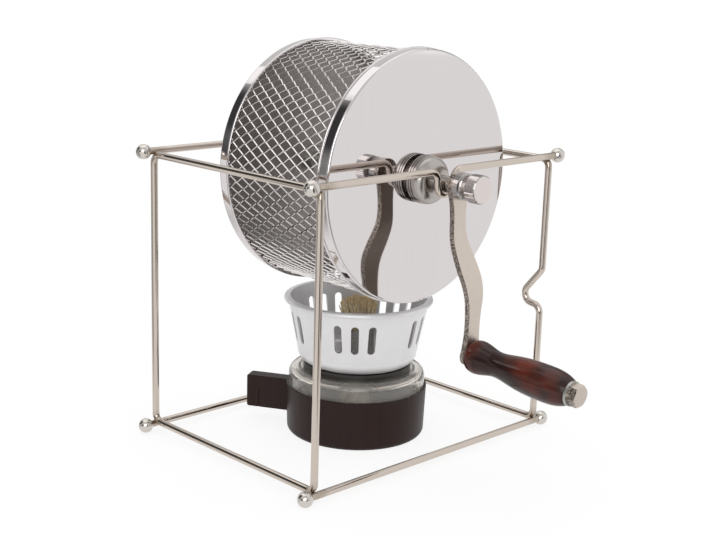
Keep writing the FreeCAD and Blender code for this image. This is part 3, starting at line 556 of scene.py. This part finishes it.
shader = add(tree, "ShaderNodeBsdfPrincipled", {
    "Base Color": colour.outputs[MIX_RESULT], "Roughness": 0.85,
    "Sheen Weight": 0.3, "Normal": bump.outputs[0],
})
through = add(tree, "ShaderNodeBsdfTranslucent", {"Color": colour.outputs[MIX_RESULT]})
downy = add(tree, "ShaderNodeMixShader", {0: 0.5, 1: shader.outputs[0], 2: through.outputs[0]})
add(tree, "ShaderNodeOutputMaterial", {"Surface": downy.outputs[0]})

wick_low, wick_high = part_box("wick")
wick_x = (wick_low.x + wick_high.x) / 2
wick_y = (wick_low.y + wick_high.y) / 2
tuft_radius = (wick_high.x - wick_low.x) / 2
wick_radius = WICK_RADIUS * MM

yarn_mesh = bmesh.new()
segments = WICK_YARNS * WICK_SIDES_PER_YARN
ring_count = round((WICK_TUFT_ROOT * MM - wick_low.z) / (WICK_RING_STEP * MM)) + 1
rings = []
for k in range(ring_count):
    z = wick_low.z + k * WICK_RING_STEP * MM
    ring = []
    for n in range(segments):
        angle = 2 * math.pi * n / segments
        lobe = math.cos(WICK_YARNS * (angle - WICK_TWIST_PER_MM * z / MM))
        r = wick_radius - WICK_LOBE * MM * (1 - lobe) / 2
        ring.append(yarn_mesh.verts.new((wick_x + r * math.cos(angle), wick_y + r * math.sin(angle), z)))
    rings.append(ring)
for lower, upper in zip(rings, rings[1:]):
    for n in range(segments):
        m = (n + 1) % segments
        face = yarn_mesh.faces.new((lower[n], lower[m], upper[m], upper[n]))
        face.smooth = True
yarn_mesh.faces.new(list(reversed(rings[0])))
yarn_mesh.faces.new(rings[-1])
wick_stem = bpy.data.objects.new("wick_stem", bpy.data.meshes.new("wick_stem"))
bpy.context.scene.collection.objects.link(wick_stem)
yarn_mesh.to_mesh(wick_stem.data)
yarn_mesh.free()
wick_stem.data.materials.append(cotton)
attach(wick_stem, "wick")

tuft_sizes = {
    "Fibres": WICK_FIBRES,
    "Root Radius": wick_radius - WICK_FIBRE_RADIUS * MM,
    "Height": wick_high.z - WICK_TUFT_ROOT * MM - WICK_FIBRE_RADIUS * MM,
    "Spread": tuft_radius / wick_radius * WICK_TUFT_SPREAD - 1,
    "Curl": WICK_TUFT_CURL * MM,
    "Fibre Radius": WICK_FIBRE_RADIUS * MM,
}
tuft = bpy.data.node_groups.new("frayed_tuft", "GeometryNodeTree")
size = named_inputs(tuft, tuft_sizes).outputs
out = add(tuft, "FunctionNodeRandomValue", {"Seed": 3}, data_type="FLOAT").outputs[1]
inward = add(tuft, "ShaderNodeMath", {0: out}, operation="SQRT")
root_radius = add(tuft, "ShaderNodeMath", {0: inward.outputs[0], 1: size["Root Radius"]},
                  operation="MULTIPLY")
spin = add(tuft, "FunctionNodeRandomValue", {"Seed": 7}, data_type="FLOAT").outputs[1]
angle = add(tuft, "ShaderNodeMath", {0: spin, 1: 2 * math.pi}, operation="MULTIPLY")
cosine = add(tuft, "ShaderNodeMath", {0: angle.outputs[0]}, operation="COSINE")
sine = add(tuft, "ShaderNodeMath", {0: angle.outputs[0]}, operation="SINE")
root_x = add(tuft, "ShaderNodeMath", {0: cosine.outputs[0], 1: root_radius.outputs[0]},
             operation="MULTIPLY")
root_y = add(tuft, "ShaderNodeMath", {0: sine.outputs[0], 1: root_radius.outputs[0]},
             operation="MULTIPLY")
root = add(tuft, "ShaderNodeCombineXYZ", {"X": root_x.outputs[0], "Y": root_y.outputs[0]})
roots = add(tuft, "GeometryNodePoints", {"Count": size["Fibres"], "Position": root.outputs[0]})
shade = add(tuft, "FunctionNodeRandomValue", {"Seed": 11}, data_type="FLOAT").outputs[1]
shaded = add(tuft, "GeometryNodeStoreNamedAttribute",
             {"Geometry": roots.outputs[0], "Name": "fibre", "Value": shade},
             data_type="FLOAT", domain="POINT")
where = add(tuft, "GeometryNodeInputPosition").outputs[0]
rooted = add(tuft, "GeometryNodeStoreNamedAttribute",
             {"Geometry": shaded.outputs[0], "Name": "root", "Value": where},
             data_type="FLOAT_VECTOR", domain="POINT")
stalk = add(tuft, "GeometryNodeCurvePrimitiveLine", {"End": (0, 0, 1)})
stalk_points = add(tuft, "GeometryNodeResampleCurve",
                   {"Curve": stalk.outputs[0], "Count": WICK_FIBRE_POINTS})
planted = add(tuft, "GeometryNodeInstanceOnPoints",
              {"Points": rooted.outputs[0], "Instance": stalk_points.outputs[0]})
fibres = add(tuft, "GeometryNodeRealizeInstances", {"Geometry": planted.outputs[0]})
own_root = add(tuft, "GeometryNodeInputNamedAttribute", {"Name": "root"},
               data_type="FLOAT_VECTOR").outputs[0]
own_shade = add(tuft, "GeometryNodeInputNamedAttribute", {"Name": "fibre"},
                data_type="FLOAT").outputs[0]
along = add(tuft, "GeometryNodeSplineParameter").outputs["Factor"]
# each fibre leans outwards with the square of its height, ends at its own length and wanders
bend = add(tuft, "ShaderNodeMath", {0: along, 1: 2.0}, operation="POWER")
lean = add(tuft, "ShaderNodeMath", {0: bend.outputs[0], 1: size["Spread"]}, operation="MULTIPLY")
grow = add(tuft, "ShaderNodeMath", {0: lean.outputs[0], 1: 1.0})
outward = add(tuft, "ShaderNodeVectorMath", {0: own_root, "Scale": grow.outputs[0]}, operation="SCALE")
own_length = add(tuft, "ShaderNodeMapRange",
                 {"Value": own_shade, "To Min": WICK_SHORTEST_FIBRE, "To Max": 1.0})
distance = add(tuft, "ShaderNodeVectorMath", {0: own_root}, operation="LENGTH")
drop = add(tuft, "ShaderNodeMapRange", {
    "Value": distance.outputs["Value"], "From Max": wick_radius,
    "To Min": 1.0, "To Max": WICK_TUFT_EDGE_HEIGHT,
})
full = add(tuft, "ShaderNodeMath", {0: own_length.outputs[0], 1: drop.outputs[0]}, operation="MULTIPLY")
height = add(tuft, "ShaderNodeMath", {0: full.outputs[0], 1: size["Height"]}, operation="MULTIPLY")
rise = add(tuft, "ShaderNodeMath", {0: height.outputs[0], 1: along}, operation="MULTIPLY")
lift = add(tuft, "ShaderNodeCombineXYZ", {"Z": rise.outputs[0]})
stood = add(tuft, "ShaderNodeVectorMath", {0: outward.outputs[0], 1: lift.outputs[0]})
drift = add(tuft, "ShaderNodeTexNoise",
            {"Vector": stood.outputs[0], "W": own_shade,
             "Scale": per_mm(WICK_TUFT_CURL_SIZE), "Detail": 1.0},
            noise_dimensions="4D")
centred = add(tuft, "ShaderNodeVectorMath", {0: drift.outputs["Color"], 1: (0.5, 0.5, 0.5)},
              operation="SUBTRACT")
sway = add(tuft, "ShaderNodeMath", {0: bend.outputs[0], 1: size["Curl"]}, operation="MULTIPLY")
curl = add(tuft, "ShaderNodeVectorMath", {0: centred.outputs[0], "Scale": sway.outputs[0]},
           operation="SCALE")
settled = add(tuft, "ShaderNodeVectorMath", {0: stood.outputs[0], 1: curl.outputs[0]})
combed = add(tuft, "GeometryNodeSetPosition",
             {"Geometry": fibres.outputs[0], "Position": settled.outputs[0]})
thread = add(tuft, "GeometryNodeCurvePrimitiveCircle",
             {"Resolution": WICK_FIBRE_SIDES, "Radius": size["Fibre Radius"]})
threads = add(tuft, "GeometryNodeCurveToMesh",
              {"Curve": combed.outputs[0], "Profile Curve": thread.outputs[0], "Fill Caps": True})
real = add(tuft, "GeometryNodeRealizeInstances", {"Geometry": threads.outputs[0]})
dressed = add(tuft, "GeometryNodeSetMaterial", {"Geometry": real.outputs[0], "Material": cotton})
add(tuft, "NodeGroupOutput", {"Geometry": dressed.outputs[0]})
wick_tuft = grown("wick_tuft", tuft, tuft_sizes)
wick_tuft.data.transform(Matrix.Translation((wick_x, wick_y, WICK_TUFT_ROOT * MM)))
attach(wick_tuft, "wick")
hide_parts("wick")


# Wind cup: spun aluminium with a rolled rim and fifteen pierced slots, set loose on the cap
# plate. Left satin from the spinning, with fine lines round it.

cup_aluminium, tree = new_finish("spun_aluminium")
place = add(tree, "ShaderNodeTexCoord").outputs["Object"]
spun_way = add(tree, "ShaderNodeMapping", {
    "Vector": place, "Scale": (per_mm(60.0), per_mm(60.0), per_mm(0.5)),
})
spun = add(tree, "ShaderNodeTexNoise", {"Vector": spun_way.outputs[0], "Scale": 1.0, "Detail": 3.0})
cloud = add(tree, "ShaderNodeTexNoise", {"Vector": place, "Scale": per_mm(12.0), "Detail": 2.0})
colour = add(tree, "ShaderNodeMix", {
    0: cloud.outputs[0], MIX_A: linear("#DEDDDE"), MIX_B: linear("#D4D3D4"),
}, data_type="RGBA")
gloss = add(tree, "ShaderNodeMapRange", {"Value": spun.outputs[0], "To Min": 0.26, "To Max": 0.42})
bump = add(tree, "ShaderNodeBump", {"Height": spun.outputs[0], "Strength": 0.12, "Distance": 0.04 * MM})
shader = add(tree, "ShaderNodeBsdfPrincipled", {
    "Base Color": colour.outputs[MIX_RESULT], "Metallic": 0.45,
    "Roughness": gloss.outputs[0], "Normal": bump.outputs[0],
})
add(tree, "ShaderNodeOutputMaterial", {"Surface": shader.outputs[0]})
dress(cup_aluminium, "wind_cup")


# Photo studio: a pale sweep under the roaster, soft lamps, white surroundings with a few grey
# flags for the metal to mirror, and the camera at the front left.

def flagged(tree, toward, flags, edge, room):
    """Darkens a colour wherever the direction falls on one of the grey cards."""
    for direction, half_angle, grey in flags:
        unit = Vector(direction).normalized()
        facing = add(tree, "ShaderNodeVectorMath", {0: toward, 1: unit}, operation="DOT_PRODUCT")
        cover = add(tree, "ShaderNodeMapRange", {
            "Value": facing.outputs["Value"],
            "From Min": math.cos(math.radians(half_angle + edge)),
            "From Max": math.cos(math.radians(half_angle - edge)),
        }, interpolation_type="SMOOTHSTEP")
        room = add(tree, "ShaderNodeMix", {0: cover.outputs[0], MIX_A: room, MIX_B: (grey, grey, grey, 1)},
                   data_type="RGBA").outputs[MIX_RESULT]
    return room


# direction, half angle in degrees, grey that the metal mirrors there
FLOOR_FLAGS = (
    ((-0.36, -0.93, 0.0), 10, 0.05),
    ((0.21, -0.98, 0.0), 10, 0.40),
    ((-0.88, 0.47, 0.0), 14, 0.35),
    ((-0.28, 0.96, 0.0), 16, 0.30),
)
FLOOR_FLAG_EDGE = 5.0
# metres from the middle: the shadow fades out over the first stretch, the cards in over the second
SHADOW_STRETCH = (0.12, 0.5)
CARD_STRETCH = (0.16, 0.3)
WHITE_UNDER_SHADOW = 0.84

floor_finish, tree = new_finish("white_paper_sweep")
ray = add(tree, "ShaderNodeLightPath")
seen = add(tree, "ShaderNodeMath", {0: ray.outputs["Is Camera Ray"], 1: ray.outputs["Is Glossy Ray"]},
           operation="MAXIMUM")
shown = add(tree, "ShaderNodeMath", {0: seen.outputs[0], 1: ray.outputs["Is Transmission Ray"]},
            operation="MAXIMUM")
paper_place = add(tree, "ShaderNodeTexCoord").outputs["Object"]
away = add(tree, "ShaderNodeVectorMath", {0: paper_place}, operation="LENGTH").outputs["Value"]
fade = add(tree, "ShaderNodeMapRange", {
    "Value": away, "From Min": SHADOW_STRETCH[0], "From Max": SHADOW_STRETCH[1],
    "To Min": WHITE_UNDER_SHADOW, "To Max": 1.0,
}, interpolation_type="SMOOTHSTEP")
veil = add(tree, "ShaderNodeMath", {0: shown.outputs[0], 1: fade.outputs[0]}, operation="MULTIPLY")
heading = add(tree, "ShaderNodeVectorMath", {0: paper_place}, operation="NORMALIZE").outputs[0]
card = flagged(tree, heading, FLOOR_FLAGS, FLOOR_FLAG_EDGE, (1, 1, 1, 1))
beyond = add(tree, "ShaderNodeMapRange", {
    "Value": away, "From Min": CARD_STRETCH[0], "From Max": CARD_STRETCH[1],
})
mirrored = add(tree, "ShaderNodeMath", {0: beyond.outputs[0], 1: ray.outputs["Is Glossy Ray"]},
               operation="MULTIPLY")
glow = add(tree, "ShaderNodeMix", {0: mirrored.outputs[0], MIX_A: (1, 1, 1, 1), MIX_B: card},
           data_type="RGBA")
paper = add(tree, "ShaderNodeTexNoise", {"Vector": paper_place, "Scale": per_mm(40.0), "Detail": 2.0})
paper_colour = add(tree, "ShaderNodeMix", {
    0: paper.outputs[0], MIX_A: linear("#F6F6F6"), MIX_B: linear("#FAFAFA"),
}, data_type="RGBA")
lit = add(tree, "ShaderNodeBsdfDiffuse", {"Color": paper_colour.outputs[MIX_RESULT]})
white = add(tree, "ShaderNodeEmission", {"Color": glow.outputs[MIX_RESULT], "Strength": 1.0})
sweep = add(tree, "ShaderNodeMixShader", {0: veil.outputs[0], 1: lit.outputs[0], 2: white.outputs[0]})
add(tree, "ShaderNodeOutputMaterial", {"Surface": sweep.outputs[0]})

FLOOR_HALF = 8.0
floor = bpy.data.objects.new("paper_sweep", bpy.data.meshes.new("paper_sweep"))
floor.data.from_pydata(
    [(-FLOOR_HALF, -FLOOR_HALF, 0), (FLOOR_HALF, -FLOOR_HALF, 0),
     (FLOOR_HALF, FLOOR_HALF, 0), (-FLOOR_HALF, FLOOR_HALF, 0)],
    [], [(0, 1, 2, 3)])
floor.data.materials.append(floor_finish)
bpy.context.scene.collection.objects.link(floor)

# how bright the surroundings are to matt surfaces, and to metal that mirrors them
DIFFUSE_LEVEL = 0.85
ROOM_LEVEL = 0.74
ROOM_FLAGS = (
    ((-0.52, 0.68, 0.50), 19, 0.05),
    ((-0.53, 0.85, 0.03), 12, 0.08),
    ((-0.95, 0.10, 0.12), 16, 0.16),
    ((-0.36, -0.93, 0.10), 14, 0.10),
    ((0.90, 0.25, 0.20), 22, 0.35),
)
ROOM_FLAG_EDGE = 7.0

world = bpy.data.worlds.new("white_studio")
bpy.context.scene.world = world
world.use_nodes = True
tree = world.node_tree
tree.nodes.clear()
toward = add(tree, "ShaderNodeTexCoord").outputs["Generated"]
room = flagged(tree, toward, ROOM_FLAGS, ROOM_FLAG_EDGE, (ROOM_LEVEL, ROOM_LEVEL, ROOM_LEVEL, 1))
ray = add(tree, "ShaderNodeLightPath")
backdrop = add(tree, "ShaderNodeMath",
               {0: ray.outputs["Is Camera Ray"], 1: ray.outputs["Is Transmission Ray"]},
               operation="MAXIMUM")
plain = add(tree, "ShaderNodeMix", {
    0: ray.outputs["Is Glossy Ray"],
    MIX_A: (DIFFUSE_LEVEL, DIFFUSE_LEVEL, DIFFUSE_LEVEL, 1), MIX_B: room,
}, data_type="RGBA")
around = add(tree, "ShaderNodeMix", {
    0: backdrop.outputs[0], MIX_A: plain.outputs[MIX_RESULT], MIX_B: (1, 1, 1, 1),
}, data_type="RGBA")
light = add(tree, "ShaderNodeBackground", {"Color": around.outputs[MIX_RESULT], "Strength": 1.0})
add(tree, "ShaderNodeOutputWorld", {"Surface": light.outputs[0]})

LAMPS = (
    # name, place, size in metres, watts
    ("key_softbox", (-1.45, -1.4, 0.9), 1.4, 14.0),
    ("fill_softbox", (1.5, -1.0, 1.1), 2.4, 5.0),
    ("top_softbox", (0.2, 0.5, 1.9), 2.2, 9.0),
)
LAMP_AIM = Vector((0, 0, 0.1))
for name, spot, width, watts in LAMPS:
    lamp = bpy.data.objects.new(name, bpy.data.lights.new(name, "AREA"))
    lamp.data.size = width
    lamp.data.energy = watts
    lamp.location = spot
    lamp.rotation_euler = (LAMP_AIM - Vector(spot)).to_track_quat("-Z", "Y").to_euler()
    lamp.visible_camera = False
    bpy.context.scene.collection.objects.link(lamp)

# the lens and the place that a perspective fit of the stand's wires gives, axes as columns
CAMERA_SENSOR = 36.0
CAMERA_LENS = 66.2
CAMERA_PLACE = (
    (0.71990, 0.14265, -0.67926, -0.51277),
    (-0.69345, 0.18935, -0.69518, -0.53002),
    (0.02945, 0.97149, 0.23524, 0.27521),
    (0, 0, 0, 1),
)
camera = bpy.data.objects.new("camera", bpy.data.cameras.new("camera"))
camera.data.sensor_width = CAMERA_SENSOR
camera.data.lens = CAMERA_LENS
camera.matrix_world = Matrix(CAMERA_PLACE)
bpy.context.scene.collection.objects.link(camera)
bpy.context.scene.camera = camera
bpy.context.scene.view_settings.view_transform = "Standard"
